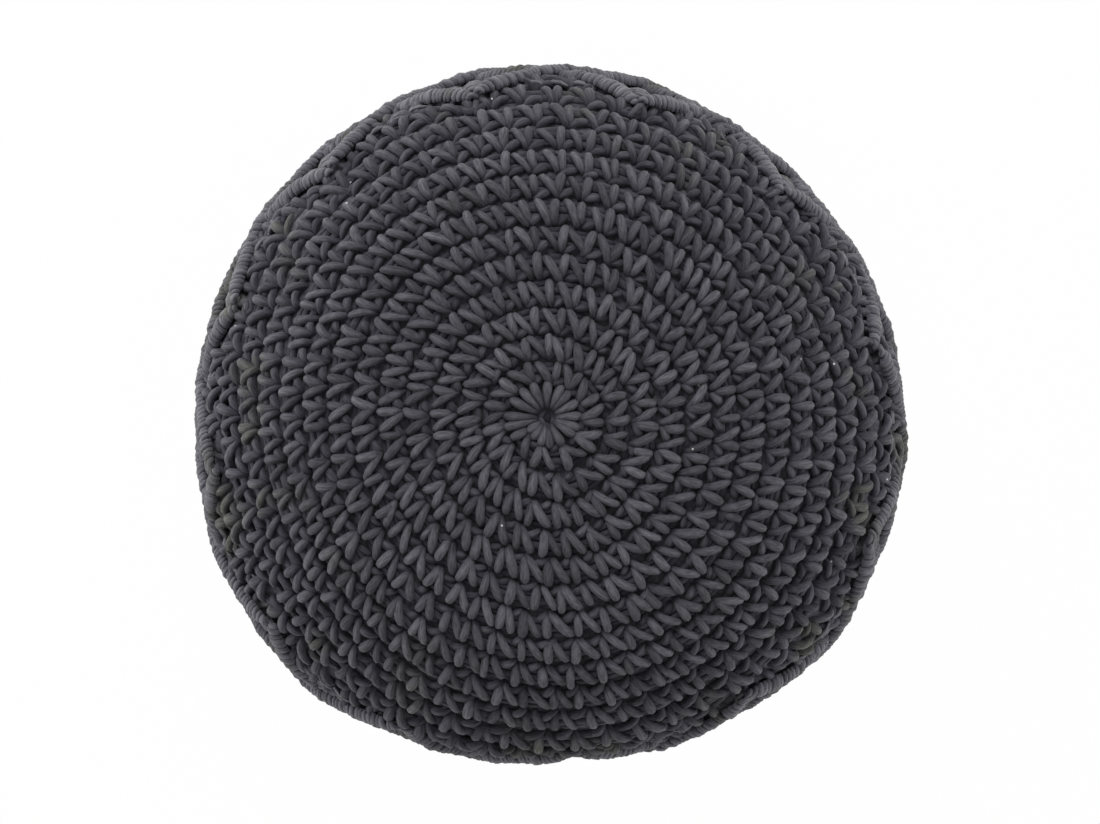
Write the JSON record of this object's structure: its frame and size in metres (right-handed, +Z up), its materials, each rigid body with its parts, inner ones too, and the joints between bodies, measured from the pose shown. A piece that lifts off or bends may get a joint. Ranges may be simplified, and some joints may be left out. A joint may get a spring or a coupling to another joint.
{
  "type": "round crochet and macrame pouf",
  "caption": "Round filled pouf in charcoal cotton cord, with a crocheted top and base and a side band knotted in diamond ridges.",
  "frame": {"origin": "middle of the flat base, on the floor", "axes": "+Z up through the crowned top, +Y towards the side shown at the top of the reference view"},
  "size_m": [0.503, 0.4922, 0.35],
  "materials": {
    "top_cord": "matte braided cotton cord, crocheted",
    "side_cord": "matte braided cotton cord, knotted",
    "base_cord": "matte braided cotton cord, crocheted"
  },
  "bodies": {
    "root": {"crochet_top_panel": "top_cord", "macrame_side_band": "side_cord", "crochet_base_panel": "base_cord"}
  },
  "joints": []
}
